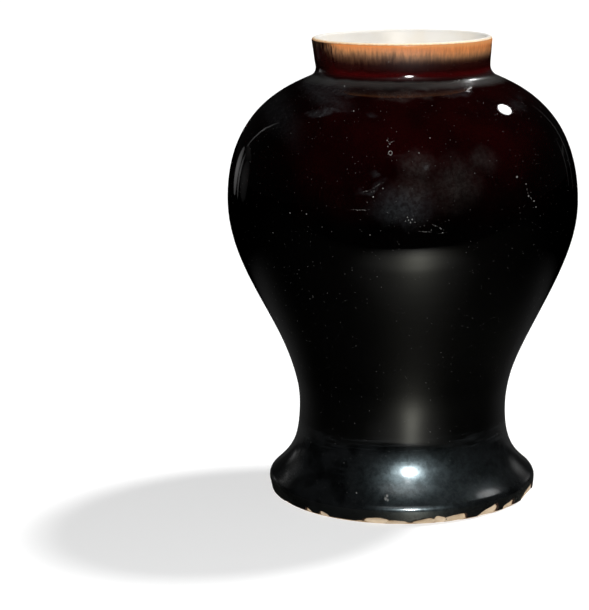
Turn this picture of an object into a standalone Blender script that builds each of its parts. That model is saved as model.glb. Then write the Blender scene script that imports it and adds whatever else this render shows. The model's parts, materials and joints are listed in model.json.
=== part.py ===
"""A baluster vase: four thrown stoneware sections and a base slab, luted with slip and glazed.

Metres, +Z up. The origin is the middle of the foot, on the surface that the vase stands on.
Every layer of the wall is a depth below one outline, the glazed outside of the vase.
"""

import math

import bmesh
import bpy
from mathutils import Vector

# Heights, stacked from the foot up

waist_height = 0.0682
lower_body_height = 0.1643
shoulder_height = 0.0996
neck_height = 0.0279
height = waist_height + lower_body_height + shoulder_height + neck_height

# Radii of the glazed outside

lip_radius = 0.0697
neck_root_radius = 0.0670
belly_radius = 0.1370
waist_radius = 0.0823
foot_radius = 0.1070

# How the outside bends between those places

neck_fillet_radius = 0.0085
shoulder_slope = math.radians(28)
shoulder_reach_share = 0.25
shoulder_drop_share = 0.76
belly_drop_share = 0.354
waist_rise_share = 0.338
waist_drop_share = 0.52
flare_length_share = 0.40
flare_slope = math.radians(41)

# The foot: its edge, the ring that it stands on and the hollow under the base

foot_edge_height = 0.0101
foot_edge_rounding = 0.0030
foot_taper = 0.0019
foot_ring_width = 0.0120
foot_ring_chamfer = 0.0008
recess_depth = 0.0070
base_thickness = 0.0090
floor_ledge_width = 0.0018
base_seat_taper = 0.0012

# Thickness of the fired clay, of the slip in the seams and of the glazes

lip_thickness = 0.0050
neck_clay = 0.0040
belly_clay = 0.0055
waist_clay = 0.0070
foot_clay = 0.0085
slip_thickness = 0.0016
outer_glaze_thickness = 0.0010
inner_glaze_thickness = 0.0008
base_glaze_thickness = 0.0007

# Where the glazes stop, and the clearance between neighbours

glaze_stop_height = 0.0014
glaze_meeting_angle = math.radians(30)
gap = 0.0003

# Faces around the vase, and points along each stretch of the outline

turn_steps = 36
crown_steps = 4
neck_steps = 2
fillet_steps = 3
shoulder_steps = 7
lower_body_steps = 7
flare_steps = 5
edge_steps = 2

clay_depth = outer_glaze_thickness + gap
seam_trim = slip_thickness / 2 + gap
lip_clay = lip_thickness - clay_depth - gap - inner_glaze_thickness
floor_height = recess_depth + base_thickness


def clear_scene():
    for item in list(bpy.data.objects):
        bpy.data.objects.remove(item, do_unlink=True)


def ceramic(name, colour, roughness):
    material = bpy.data.materials.new(name)
    material.use_nodes = True
    shader = material.node_tree.nodes["Principled BSDF"]
    shader.inputs["Base Color"].default_value = (*colour, 1.0)
    shader.inputs["Roughness"].default_value = roughness
    shader.inputs["Metallic"].default_value = 0.0
    return material


# Stretches of the outline, each a Bezier of four (radius, height) points

def line(start, end):
    return start, start.lerp(end, 1 / 3), start.lerp(end, 2 / 3), end


def rounding(corner, arriving, leaving, radius):
    """The arc that rounds a corner between two directions."""
    turn = arriving.angle(leaving)
    reach = radius * math.tan(turn / 2)
    handle = radius * math.tan(turn / 4) * 4 / 3
    start = corner - arriving * reach
    end = corner + leaving * reach
    return start, start + arriving * handle, end - leaving * handle, end


def outline():
    """The glazed outside from the lip down, as one stretch for each part of the vase."""
    down = Vector((0, -1))
    lip_edge = Vector((lip_radius, height - lip_thickness / 2))
    neck_root = Vector((neck_root_radius, height - neck_height))
    neck_way = (neck_root - lip_edge).normalized()
    shoulder_way = Vector((math.cos(shoulder_slope), -math.sin(shoulder_slope)))
    fillet = rounding(neck_root, neck_way, shoulder_way, neck_fillet_radius)
    # The neck leans outwards, so the rounded lip runs into it a little lower than half its thickness
    lean = (lip_radius - neck_root_radius) / neck_height
    lip_start = lip_edge + neck_way * (lean * lip_thickness / 2)
    neck = line(lip_start, fillet[0])

    belly = Vector((belly_radius, waist_height + lower_body_height))
    start = fillet[3]
    shoulder_handle = shoulder_way * (shoulder_reach_share * (belly.x - start.x))
    belly_handle = down * (shoulder_drop_share * (start.y - belly.y))
    shoulder = (start, start + shoulder_handle, belly - belly_handle, belly)

    waist = Vector((waist_radius, waist_height))
    belly_handle = down * (belly_drop_share * lower_body_height)
    waist_handle = down * (waist_rise_share * lower_body_height)
    lower_body = (belly, belly + belly_handle, waist - waist_handle, waist)

    corner = Vector((foot_radius, foot_edge_height))
    foot_bottom = Vector((foot_radius - foot_taper, 0))
    flare_way = Vector((math.cos(flare_slope), -math.sin(flare_slope)))
    side_way = (foot_bottom - corner).normalized()
    edge = rounding(corner, flare_way, side_way, foot_edge_rounding)
    flare_drop = waist.y - edge[0].y
    waist_handle = down * (waist_drop_share * flare_drop)
    flare_handle = flare_way * (flare_length_share * flare_drop)
    flare = (waist, waist + waist_handle, edge[0] - flare_handle, edge[0])
    side = line(edge[3], foot_bottom)
    return neck, fillet, shoulder, lower_body, flare, edge, side


def at(stretch, t):
    """The point at t along a stretch, and the direction into the wall there."""
    a, b, c, d = stretch
    s = 1 - t
    point = a * s ** 3 + b * (3 * s * s * t) + c * (3 * s * t * t) + d * t ** 3
    along = (b - a) * (s * s) + (c - b) * (2 * s * t) + (d - c) * (t * t)
    along.normalize()
    return point, Vector((along.y, -along.x))


def evenly(stretch, steps, trim_start=0.0, trim_end=0.0):
    """Values of t that lie evenly along a stretch, short of its ends by the trims."""
    samples = 200
    lengths = [0.0]
    for index in range(samples):
        here = at(stretch, index / samples)[0]
        there = at(stretch, (index + 1) / samples)[0]
        lengths.append(lengths[-1] + (there - here).length)
    span = lengths[-1] - trim_start - trim_end
    values = []
    index = 0
    for step in range(steps + 1):
        wanted = trim_start + span * step / steps
        while index < samples - 1 and lengths[index + 1] < wanted:
            index += 1
        part = (wanted - lengths[index]) / (lengths[index + 1] - lengths[index])
        values.append((index + part) / samples)
    return values


def stations(stretch, steps, clay_start, clay_end, trim_start=0.0, trim_end=0.0):
    """Places along a stretch: the point, the way into the wall and the clay's thickness."""
    places = []
    for t in evenly(stretch, steps, trim_start, trim_end):
        point, inward = at(stretch, t)
        places.append((point, inward, clay_start + (clay_end - clay_start) * t))
    return places


def neck_places():
    return stations(neck, neck_steps, lip_clay, neck_clay, trim_end=seam_trim)


def shoulder_places():
    places = stations(fillet, fillet_steps, neck_clay, neck_clay, trim_start=seam_trim)
    places += stations(shoulder, shoulder_steps, neck_clay, belly_clay, trim_end=seam_trim)[1:]
    return places


def lower_body_places():
    return stations(lower_body, lower_body_steps, belly_clay, waist_clay, seam_trim, seam_trim)


def foot_places():
    places = stations(flare, flare_steps, waist_clay, foot_clay, trim_start=seam_trim)
    places += stations(edge, edge_steps, foot_clay, foot_clay)[1:]
    places += stations(side, 1, foot_clay, foot_clay)[1:]
    return places


# Depths below the glazed outside

def outside(place):
    return place[0]


def glaze_back(place):
    return place[0] + place[1] * outer_glaze_thickness


def clay_outside(place):
    return place[0] + place[1] * clay_depth


def clay_inside(place):
    return place[0] + place[1] * (clay_depth + place[2])


def inner_glaze_back(place):
    return place[0] + place[1] * (clay_depth + place[2] + gap)


def inner_glaze_face(place):
    return place[0] + place[1] * (clay_depth + place[2] + gap + inner_glaze_thickness)


def crown(angle, outer_depth, inner_depth):
    """A point of the rounded lip, from angle 0 outside to a half turn inside, below its surface."""
    point, inward, _ = neck_places()[0]
    radius = lip_thickness / 2
    centre = point + inward * radius
    depth = outer_depth + (inner_depth - outer_depth) * angle / math.pi
    way = Vector((-inward.x * math.cos(angle) - inward.y * math.sin(angle),
                  -inward.y * math.cos(angle) - inward.x * math.sin(angle)))
    return centre + way * (radius - depth)


def crown_line(start, end, outer_depth, inner_depth):
    points = []
    for step in range(crown_steps + 1):
        angle = start + (end - start) * step / crown_steps
        points.append(crown(angle, outer_depth, inner_depth))
    return points


def on_line(start, end, level):
    """Where the line through two points reaches a height."""
    return start.lerp(end, (level - start.y) / (end.y - start.y))


def down_to(points, level):
    """The part of a falling line above a height, and the point where it gets there."""
    above = [points[0]]
    for start, end in zip(points, points[1:]):
        if end.y <= level:
            above.append(on_line(start, end, level))
            return above
        above.append(end)
    above.append(on_line(points[-2], points[-1], level))
    return above


def turn(name, profile, material):
    """One closed solid, turned about Z from a profile that is a loop or starts and ends on the axis."""
    shape = bmesh.new()
    verts = [shape.verts.new((point.x, 0, point.y)) for point in profile]
    edges = [shape.edges.new(pair) for pair in zip(verts, verts[1:])]
    if profile[0].x > 0:
        edges.append(shape.edges.new((verts[-1], verts[0])))
    bmesh.ops.spin(shape, geom=verts + edges, cent=(0, 0, 0), axis=(0, 0, 1), angle=math.tau,
                   steps=turn_steps, use_merge=True)
    bmesh.ops.remove_doubles(shape, verts=shape.verts, dist=0.000001)
    bmesh.ops.recalc_face_normals(shape, faces=shape.faces)
    mesh = bpy.data.meshes.new(name)
    shape.to_mesh(mesh)
    shape.free()
    mesh.shade_smooth()
    mesh.set_sharp_from_angle(angle=math.radians(35))
    mesh.materials.append(material)
    piece = bpy.data.objects.new(name, mesh)
    bpy.context.scene.collection.objects.link(piece)
    return piece


def wall_band(places, outer, inner):
    """The loop round a stretch of wall: down its outer side and back up its inner side."""
    return [outer(place) for place in places] + [inner(place) for place in reversed(places)]


# The four thrown sections

def make_neck_section():
    top = crown_line(math.pi, glaze_meeting_angle, clay_depth, gap + inner_glaze_thickness)[1:]
    turn("neck_section", top + wall_band(neck_places(), clay_outside, clay_inside), clay)


def make_shoulder_section():
    turn("shoulder_section", wall_band(shoulder_places(), clay_outside, clay_inside), clay)


def make_lower_body_section():
    turn("lower_body_section", wall_band(lower_body_places(), clay_outside, clay_inside), clay)


def foot_wall_inside():
    return down_to([clay_inside(place) for place in foot_places()], floor_height)


def seat_radius(level):
    """Radius of the tapered seat that the base slab is luted into."""
    rise = (floor_height - level) / base_thickness
    return foot_wall_inside()[-1].x - floor_ledge_width - base_seat_taper * rise


def foot_ring_radius():
    """Outer radius of the clay ring, where it meets the table."""
    places = foot_places()
    return on_line(clay_outside(places[-2]), clay_outside(places[-1]), 0).x


def recess_radius():
    return foot_ring_radius() - foot_ring_width


def make_foot_section():
    outer = [clay_outside(place) for place in foot_places()]
    profile = down_to(outer, foot_ring_chamfer)
    profile.append(Vector((foot_ring_radius() - foot_ring_chamfer, 0)))
    profile.append(Vector((recess_radius() + foot_ring_chamfer, 0)))
    profile.append(Vector((recess_radius(), foot_ring_chamfer)))
    profile.append(Vector((recess_radius(), recess_depth)))
    profile.append(Vector((seat_radius(recess_depth), recess_depth)))
    profile.append(Vector((seat_radius(floor_height), floor_height)))
    profile += reversed(foot_wall_inside())
    turn("foot_section", profile, clay)


# The slab that closes the foot, and the slip in the four seams

def slip_outer_radius(level):
    return seat_radius(level) - gap


def slip_inner_radius(level):
    return slip_outer_radius(level) - slip_thickness


def slab_radius(level):
    return slip_inner_radius(level) - gap


def make_base_slab():
    profile = [Vector((0, floor_height)),
               Vector((slab_radius(floor_height), floor_height)),
               Vector((slab_radius(recess_depth), recess_depth)),
               Vector((0, recess_depth))]
    turn("base_slab", profile, clay)


def make_base_seam_slip():
    profile = [Vector((slip_outer_radius(floor_height), floor_height)),
               Vector((slip_outer_radius(recess_depth), recess_depth)),
               Vector((slip_inner_radius(recess_depth), recess_depth)),
               Vector((slip_inner_radius(floor_height), floor_height))]
    turn("base_seam_slip", profile, slip)


def make_seam_slip(name, above, below):
    """The ring of slip between the last place of one section and the first of the next."""
    share = gap / (2 * seam_trim)
    profile = []
    for layer, first, last in ((clay_outside, above, below), (clay_inside, below, above)):
        start = layer(first)
        end = layer(last)
        profile.append(start.lerp(end, share))
        profile.append(start.lerp(end, 1 - share))
    turn(name, profile, slip)


# The three coats of glaze

def make_outer_glaze():
    """The dark coat, from the outer edge of the lip to just above the table."""
    places = neck_places() + shoulder_places() + lower_body_places() + foot_places()
    top = lip_thickness / 2
    start = glaze_meeting_angle - gap / top
    face = [crown(start, 0, 0), crown(start / 2, 0, 0)] + [outside(place) for place in places]
    back = [crown(start, outer_glaze_thickness, inner_glaze_thickness),
            crown(start / 2, outer_glaze_thickness, inner_glaze_thickness)]
    back += [glaze_back(place) for place in places]
    profile = down_to(face, glaze_stop_height) + list(reversed(down_to(back, glaze_stop_height)))
    turn("outer_glaze", profile, dark_glaze)


def make_inner_glaze():
    """The pale coat, over the lip, down the inside and across the floor."""
    places = neck_places() + shoulder_places() + lower_body_places() + foot_places()
    face_level = floor_height + gap + inner_glaze_thickness
    face = crown_line(glaze_meeting_angle, math.pi, 0, 0)[:-1]
    face += down_to([inner_glaze_face(place) for place in places], face_level)
    face.append(Vector((0, face_level)))
    back = crown_line(glaze_meeting_angle, math.pi, outer_glaze_thickness, inner_glaze_thickness)[:-1]
    back += down_to([inner_glaze_back(place) for place in places], floor_height + gap)
    back.append(Vector((0, floor_height + gap)))
    turn("inner_glaze", list(reversed(face)) + back, pale_glaze)


def make_base_glaze():
    """The pale coat in the hollow under the base."""
    back_radius = recess_radius() - gap
    face_radius = back_radius - base_glaze_thickness
    back_level = recess_depth - gap
    face_level = back_level - base_glaze_thickness
    profile = [Vector((0, back_level)),
               Vector((back_radius, back_level)),
               Vector((back_radius, glaze_stop_height)),
               Vector((face_radius, glaze_stop_height)),
               Vector((face_radius, face_level)),
               Vector((0, face_level))]
    turn("base_glaze", profile, pale_glaze)


clear_scene()
clay = ceramic("fired_clay", (0.62, 0.47, 0.33), 0.85)
slip = ceramic("fired_slip", (0.70, 0.58, 0.44), 0.9)
dark_glaze = ceramic("copper_red_glaze", (0.022, 0.004, 0.005), 0.08)
pale_glaze = ceramic("cream_glaze", (0.86, 0.80, 0.66), 0.15)

neck, fillet, shoulder, lower_body, flare, edge, side = outline()

make_neck_section()
make_seam_slip("neck_seam_slip", neck_places()[-1], shoulder_places()[0])
make_shoulder_section()
make_seam_slip("belly_seam_slip", shoulder_places()[-1], lower_body_places()[0])
make_lower_body_section()
make_seam_slip("waist_seam_slip", lower_body_places()[-1], foot_places()[0])
make_foot_section()
make_base_slab()
make_base_seam_slip()
make_outer_glaze()
make_inner_glaze()
make_base_glaze()
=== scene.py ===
"""A baluster vase of thrown stoneware, dark copper-red glaze outside and cream glaze inside.

Metres, +Z up. The origin is the middle of the foot, and -Y faces the photographed side.
Every layer of the wall is a depth below one outline, the glazed outside of the vase.
"""

import json
import math

import bmesh
import bpy
from mathutils import Matrix, Vector, noise

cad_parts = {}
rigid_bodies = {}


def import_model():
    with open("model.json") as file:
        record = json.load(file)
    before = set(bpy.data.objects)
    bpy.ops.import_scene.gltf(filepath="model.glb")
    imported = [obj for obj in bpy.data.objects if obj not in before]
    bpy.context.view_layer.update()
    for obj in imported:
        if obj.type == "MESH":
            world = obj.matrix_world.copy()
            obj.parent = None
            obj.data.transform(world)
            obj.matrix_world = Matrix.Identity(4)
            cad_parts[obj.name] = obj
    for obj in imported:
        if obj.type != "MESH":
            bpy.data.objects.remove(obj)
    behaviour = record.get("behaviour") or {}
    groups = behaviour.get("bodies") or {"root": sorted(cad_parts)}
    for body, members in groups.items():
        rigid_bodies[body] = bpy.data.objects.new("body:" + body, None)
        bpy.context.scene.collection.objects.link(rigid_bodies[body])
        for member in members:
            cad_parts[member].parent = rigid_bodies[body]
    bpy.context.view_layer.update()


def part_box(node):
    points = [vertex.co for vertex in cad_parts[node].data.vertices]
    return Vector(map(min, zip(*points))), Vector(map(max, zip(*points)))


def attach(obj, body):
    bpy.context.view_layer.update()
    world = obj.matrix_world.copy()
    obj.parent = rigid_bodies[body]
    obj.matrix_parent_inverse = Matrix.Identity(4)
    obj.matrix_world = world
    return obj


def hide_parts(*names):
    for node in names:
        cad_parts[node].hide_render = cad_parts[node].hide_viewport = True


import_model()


# The neck, the shoulder and the lower body
# Three sections of buff stoneware, thrown one by one and turned leather-hard. They are joined with
# slip at the root of the neck, at the belly and at the waist, and glaze hides them on both sides.

def middle_height(node):
    low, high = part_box(node)
    return (low.z + high.z) / 2


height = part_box("inner_glaze")[1].z
belly_height = middle_height("belly_seam_slip")
waist_height = middle_height("waist_seam_slip")
belly_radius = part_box("outer_glaze")[1].x
neck_height = 0.0279
lip_radius = 0.0697
neck_root_radius = 0.0670
waist_radius = 0.0823
foot_radius = 0.1070

neck_fillet_radius = 0.0085
shoulder_slope = math.radians(25.5)
shoulder_reach_share = 0.25
shoulder_drop_share = 0.76
belly_drop_share = 0.354
waist_rise_share = 0.338
waist_drop_share = 0.52
flare_length_share = 0.40
flare_slope = math.radians(41)
foot_edge_height = 0.0121
foot_edge_rounding = 0.0066
foot_taper = 0.0019

lip_thickness = 0.0050
neck_clay = 0.0040
belly_clay = 0.0055
waist_clay = 0.0070
foot_clay = 0.0085
outer_glaze_thickness = 0.0010
inner_glaze_thickness = 0.0008
gap = 0.0003
clay_depth = outer_glaze_thickness + gap
lip_clay = lip_thickness - clay_depth - gap - inner_glaze_thickness

turn_steps = 216
hidden_turn_steps = 96
neck_steps = 8
fillet_steps = 10
shoulder_steps = 40
lower_body_steps = 44
flare_steps = 30
edge_steps = 8
side_steps = 6
crown_steps = 14

# How far the pot leans to the right at each height, as it came off the wheel
lean = ((0.000, 0.0000), (0.018, -0.0009), (0.045, -0.0004), (0.090, 0.0003), (0.132, 0.0011),
        (0.200, 0.0004), (0.270, 0.0001), (0.300, 0.0004), (0.328, 0.0010), (0.345, 0.0000),
        (0.360, -0.0004))
lip_tilt = 0.0077
lip_tilt_start = 0.300

# Where the two glazes meet on the round of the lip, as an angle from its outer side
glaze_meeting_angle = math.radians(30)
# The least bend that shows as an edge
sharp_bend = math.radians(40)


def line(start, end):
    return start, start.lerp(end, 1 / 3), start.lerp(end, 2 / 3), end


def rounding(corner, arriving, leaving, radius):
    """The arc that rounds a corner between two directions."""
    turn = arriving.angle(leaving)
    reach = radius * math.tan(turn / 2)
    handle = radius * math.tan(turn / 4) * 4 / 3
    start = corner - arriving * reach
    end = corner + leaving * reach
    return start, start + arriving * handle, end - leaving * handle, end


def outline():
    """The glazed outside from the lip down: Bezier stretches of four (radius, height) points."""
    down = Vector((0, -1))
    lip_edge = Vector((lip_radius, height - lip_thickness / 2))
    neck_root = Vector((neck_root_radius, height - neck_height))
    neck_way = (neck_root - lip_edge).normalized()
    shoulder_way = Vector((math.cos(shoulder_slope), -math.sin(shoulder_slope)))
    fillet = rounding(neck_root, neck_way, shoulder_way, neck_fillet_radius)
    slant = (lip_radius - neck_root_radius) / neck_height
    neck = line(lip_edge + neck_way * (slant * lip_thickness / 2), fillet[0])

    belly = Vector((belly_radius, belly_height))
    start = fillet[3]
    shoulder_handle = shoulder_way * (shoulder_reach_share * (belly.x - start.x))
    belly_handle = down * (shoulder_drop_share * (start.y - belly.y))
    shoulder = (start, start + shoulder_handle, belly - belly_handle, belly)

    waist = Vector((waist_radius, waist_height))
    drop = belly.y - waist.y
    lower_body = (belly, belly + down * (belly_drop_share * drop),
                  waist - down * (waist_rise_share * drop), waist)

    corner = Vector((foot_radius, foot_edge_height))
    foot_bottom = Vector((foot_radius - foot_taper, 0))
    flare_way = Vector((math.cos(flare_slope), -math.sin(flare_slope)))
    edge = rounding(corner, flare_way, (foot_bottom - corner).normalized(), foot_edge_rounding)
    drop = waist.y - edge[0].y
    flare = (waist, waist + down * (waist_drop_share * drop),
             edge[0] - flare_way * (flare_length_share * drop), edge[0])
    return neck, fillet, shoulder, lower_body, flare, edge, line(edge[3], foot_bottom)


def places_along(stretch, steps, clay_start, clay_end):
    """Places on a stretch: the point, the way into the wall and the clay's thickness."""
    a, b, c, d = stretch
    places = []
    for step in range(steps + 1):
        t = step / steps
        s = 1 - t
        point = a * s ** 3 + b * (3 * s * s * t) + c * (3 * s * t * t) + d * t ** 3
        along = (b - a) * (s * s) + (c - b) * (2 * s * t) + (d - c) * (t * t)
        along.normalize()
        places.append((point, Vector((along.y, -along.x)), clay_start + (clay_end - clay_start) * t))
    return places


def whole_wall():
    neck, fillet, shoulder, lower_body, flare, edge, side = outline()
    places = places_along(neck, neck_steps, lip_clay, neck_clay)
    places += places_along(fillet, fillet_steps, neck_clay, neck_clay)[1:]
    places += places_along(shoulder, shoulder_steps, neck_clay, belly_clay)[1:]
    places += places_along(lower_body, lower_body_steps, belly_clay, waist_clay)[1:]
    places += places_along(flare, flare_steps, waist_clay, foot_clay)[1:]
    places += places_along(edge, edge_steps, foot_clay, foot_clay)[1:]
    places += places_along(side, side_steps, foot_clay, foot_clay)[1:]
    return places


def part_way(above, below, level):
    """The place between two others at a height of the outline."""
    share = (above[0].y - level) / (above[0].y - below[0].y)
    return tuple(start + (end - start) * share for start, end in zip(above, below))


def between(top, bottom):
    """The places of the wall from one height of the outline down to another."""
    places = []
    for above, below in zip(wall, wall[1:]):
        if above[0].y > top > below[0].y:
            places.append(part_way(above, below, top))
        if top >= above[0].y >= bottom:
            places.append(above)
        if above[0].y > bottom > below[0].y:
            places.append(part_way(above, below, bottom))
    if wall[-1][0].y >= bottom:
        places.append(wall[-1])
    return places


def layer(places, depth, clay_share=0):
    """The points at a depth below the outline, past a share of the clay's thickness."""
    return [point + inward * (depth + clay * clay_share) for point, inward, clay in places]


def crown(start, end, outer_depth, inner_depth):
    """The rounded lip below its surface, from one angle to another: 0 is outside, a half turn inside."""
    point, inward, _ = wall[0]
    centre = point + inward * (lip_thickness / 2)
    outward = -inward
    upward = Vector((-outward.y, outward.x))
    points = []
    for step in range(crown_steps + 1):
        angle = start + (end - start) * step / crown_steps
        depth = outer_depth + (inner_depth - outer_depth) * angle / math.pi
        way = outward * math.cos(angle) + upward * math.sin(angle)
        points.append(centre + way * (lip_thickness / 2 - depth))
    return points


def settled(point):
    """Where a point of the true form lies on the real pot, which leans a little and isn't quite level."""
    for (low, low_lean), (high, high_lean) in zip(lean, lean[1:]):
        if point.z <= high:
            break
    share = min(max((point.z - low) / (high - low), 0), 1)
    share = share * share * (3 - 2 * share)
    rise = min(max((point.z - lip_tilt_start) / (height - lip_tilt_start), 0), 1)
    return Vector((point.x + low_lean + (high_lean - low_lean) * share, point.y,
                   point.z + point.x * lip_tilt * rise * rise))


def turned(name, profile, material, steps=turn_steps):
    """A closed ring or dish, turned about the axis from a loop or a line between two points on it."""
    shape = bmesh.new()
    points = [shape.verts.new((point.x, 0, point.y)) for point in profile]
    lines = [shape.edges.new(pair) for pair in zip(points, points[1:])]
    if profile[0].x > 0:
        lines.append(shape.edges.new((points[-1], points[0])))
    bmesh.ops.spin(shape, geom=points + lines, cent=(0, 0, 0), axis=(0, 0, 1), angle=math.tau,
                   steps=steps, use_merge=True)
    bmesh.ops.remove_doubles(shape, verts=shape.verts, dist=0.000001)
    bmesh.ops.recalc_face_normals(shape, faces=shape.faces)
    mesh = bpy.data.meshes.new(name)
    shape.to_mesh(mesh)
    shape.free()
    mesh.materials.append(material)
    piece = bpy.data.objects.new(name, mesh)
    bpy.context.scene.collection.objects.link(piece)
    return piece


def set_in_place(piece, node):
    """Gives a piece the lean of the pot and puts it in its node's place."""
    for vertex in piece.data.vertices:
        vertex.co = settled(vertex.co)
    piece.data.shade_smooth()
    piece.data.set_sharp_from_angle(angle=sharp_bend)
    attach(piece, "root")
    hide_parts(node)


def put(tree, kind, inputs, **options):
    """A shader node. Its inputs hold plain values or the outputs of other nodes."""
    made = tree.nodes.new("ShaderNode" + kind)
    for name, value in options.items():
        setattr(made, name, value)
    for name, value in inputs.items():
        if isinstance(value, bpy.types.NodeSocket):
            tree.links.new(value, made.inputs[name])
        else:
            made.inputs[name].default_value = value
    return made


def reckon(tree, operation, first, second=0.0, third=0.0):
    made = put(tree, "Math", {0: first, 1: second, 2: third}, operation=operation)
    return made.outputs[0]


def times(tree, first, second):
    return reckon(tree, "MULTIPLY", first, second)


def tinted(tree, share, below, above, blend_type="MIX"):
    made = put(tree, "Mix", {0: share, 6: below, 7: above}, data_type="RGBA", blend_type=blend_type)
    return made.outputs[2]


def eased(tree, value, low, high, start=0.0, end=1.0):
    """A value eased from one range to another, held at both ends."""
    made = put(tree, "MapRange", {0: value, 1: low, 2: high, 3: start, 4: end},
               interpolation_type="SMOOTHSTEP")
    return made.outputs[0]


def clouds(tree, where, scale, detail, roughness=0.5):
    """A soft random value at each place, mostly between 0.3 and 0.7."""
    made = put(tree, "TexNoise", {"Vector": where, "Scale": scale, "Detail": detail,
                                  "Roughness": roughness})
    return made.outputs["Fac"]


def new_material(name):
    made = bpy.data.materials.new(name)
    made.use_nodes = True
    return made, made.node_tree, made.node_tree.nodes["Principled BSDF"]


def make_clay_grain():
    """Buff stoneware close up: cloudy colour, dark iron specks and pale grog that stands proud."""
    group = bpy.data.node_groups.new("clay_grain", "ShaderNodeTree")
    for name, kind, value in (("Buff", "NodeSocketColor", (0.62, 0.45, 0.28, 1)),
                              ("Dark", "NodeSocketColor", (0.40, 0.26, 0.15, 1)),
                              ("Speck Share", "NodeSocketFloat", 0.1)):
        group.interface.new_socket(name=name, in_out="INPUT", socket_type=kind).default_value = value
    group.interface.new_socket(name="Colour", in_out="OUTPUT", socket_type="NodeSocketColor")
    group.interface.new_socket(name="Height", in_out="OUTPUT", socket_type="NodeSocketFloat")
    given = group.nodes.new("NodeGroupInput").outputs
    where = put(group, "TexCoord", {}).outputs["Object"]
    cloud = clouds(group, where, 70.0, 6.0)
    fine = clouds(group, where, 1400.0, 4.0)
    cells = put(group, "TexVoronoi", {"Vector": where, "Scale": 480.0})
    picked = put(group, "SeparateColor", {0: cells.outputs["Color"]}).outputs[0]
    chosen = reckon(group, "LESS_THAN", picked, given["Speck Share"])
    spot = reckon(group, "LESS_THAN", cells.outputs["Distance"], 0.30)
    speck = times(group, chosen, spot)
    colour = tinted(group, eased(group, cloud, 0.35, 0.70), given["Buff"], given["Dark"])
    colour = tinted(group, times(group, speck, 0.75), colour, (0.09, 0.05, 0.03, 1))
    raised = reckon(group, "ADD", fine, times(group, speck, 0.5))
    out = group.nodes.new("NodeGroupOutput")
    group.links.new(colour, out.inputs["Colour"])
    group.links.new(raised, out.inputs["Height"])
    return group


def clay_material(name, buff, dark, speck_share, bump):
    made, tree, shader = new_material(name)
    grain = put(tree, "Group", {}, node_tree=clay_grain)
    grain.inputs["Buff"].default_value = (*buff, 1)
    grain.inputs["Dark"].default_value = (*dark, 1)
    grain.inputs["Speck Share"].default_value = speck_share
    relief = put(tree, "Bump", {"Height": grain.outputs["Height"], "Strength": 0.6, "Distance": bump})
    tree.links.new(grain.outputs["Colour"], shader.inputs["Base Color"])
    tree.links.new(relief.outputs[0], shader.inputs["Normal"])
    shader.inputs["Roughness"].default_value = 0.88
    shader.inputs["Specular IOR Level"].default_value = 0.25
    return made


clay_grain = make_clay_grain()
fired_clay = clay_material("fired_clay", (0.60, 0.44, 0.28), (0.46, 0.31, 0.18), 0.10, 0.0003)
wall = whole_wall()


def wall_ring(name, node, material):
    """A level ring of the wall, as tall as its node: a thrown section, or the slip between two."""
    low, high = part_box(node)
    places = between(high.z, low.z)
    loop = layer(places, clay_depth) + layer(reversed(places), clay_depth, 1)
    set_in_place(turned(name, loop, material, hidden_turn_steps), node)


def thrown_neck():
    """The top ring, which the round of the lip closes."""
    places = between(height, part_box("neck_section")[0].z)
    top = crown(math.pi, glaze_meeting_angle, clay_depth, gap + inner_glaze_thickness)
    loop = top + layer(places, clay_depth) + layer(reversed(places), clay_depth, 1)[:-1]
    set_in_place(turned("thrown_neck", loop, fired_clay, hidden_turn_steps), "neck_section")


thrown_neck()
wall_ring("thrown_shoulder", "shoulder_section", fired_clay)
wall_ring("thrown_lower_body", "lower_body_section", fired_clay)


# The foot
# The lowest thrown section, splayed, with a flat ring turned underneath for the vase to stand on.
# Knocks have flaked its lower edge: each flake took the glaze and a thin scoop of the clay with it.

foot_ring_width = 0.0120
foot_ring_chamfer = 0.0008
foot_ring_draft = 0.0001
floor_ledge_width = 0.0018
base_seat_taper = 0.0012
recess_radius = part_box("base_glaze")[1].x + gap
recess_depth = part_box("base_slab")[0].z
floor_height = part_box("base_slab")[1].z

# Each flake: degrees round the foot from the photographed side, then its width, height and depth, and
# how much it rises to the right, as a share of its height
flakes = ((-18.1, 0.0050, 0.0018, 0.0014, 0.0), (-11.5, 0.0230, 0.0043, 0.0020, 0.30),
          (-3.0, 0.0250, 0.0031, 0.0020, -0.40), (9.1, 0.0200, 0.0040, 0.0022, 0.25),
          (15.8, 0.0098, 0.0046, 0.0022, -0.20), (22.3, 0.0205, 0.0048, 0.0024, 0.42),
          (38.5, 0.0220, 0.0048, 0.0028, 0.75), (51.5, 0.0165, 0.0046, 0.0026, 0.60),
          (71.0, 0.0330, 0.0066, 0.0032, 0.35), (-34.3, 0.0100, 0.0030, 0.0022, -0.60),
          (-43.2, 0.0072, 0.0030, 0.0014, -0.70), (-57.0, 0.0150, 0.0017, 0.0012, -0.50),
          (-97.0, 0.0120, 0.0070, 0.0020, 0.0), (104.0, 0.0120, 0.0030, 0.0026, 0.3),
          (113.0, 0.0090, 0.0042, 0.0028, -0.4), (139.0, 0.0150, 0.0036, 0.0028, 0.5),
          (160.0, 0.0070, 0.0024, 0.0020, 0.0), (186.0, 0.0160, 0.0042, 0.0032, -0.6),
          (194.0, 0.0100, 0.0028, 0.0024, 0.2), (219.0, 0.0080, 0.0034, 0.0024, 0.4),
          (243.0, 0.0130, 0.0030, 0.0026, -0.3))
# How far from round a flake's outline is, and how much of the tool that makes it stays outside the pot
flake_squareness = 0.72
flake_reach = 0.75
# Broad lumps, small lumps and fine ripples in the broken face, as shares of the flake
flake_lump_scale = 1.7
flake_lumps = 0.10
flake_small_lumps = 0.05
flake_ripples = 0.006
flake_ripples_up = 16
flake_ripples_across = 5
# Far enough apart in the random field for no two flakes to look alike
flake_spacing = 7.3


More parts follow.
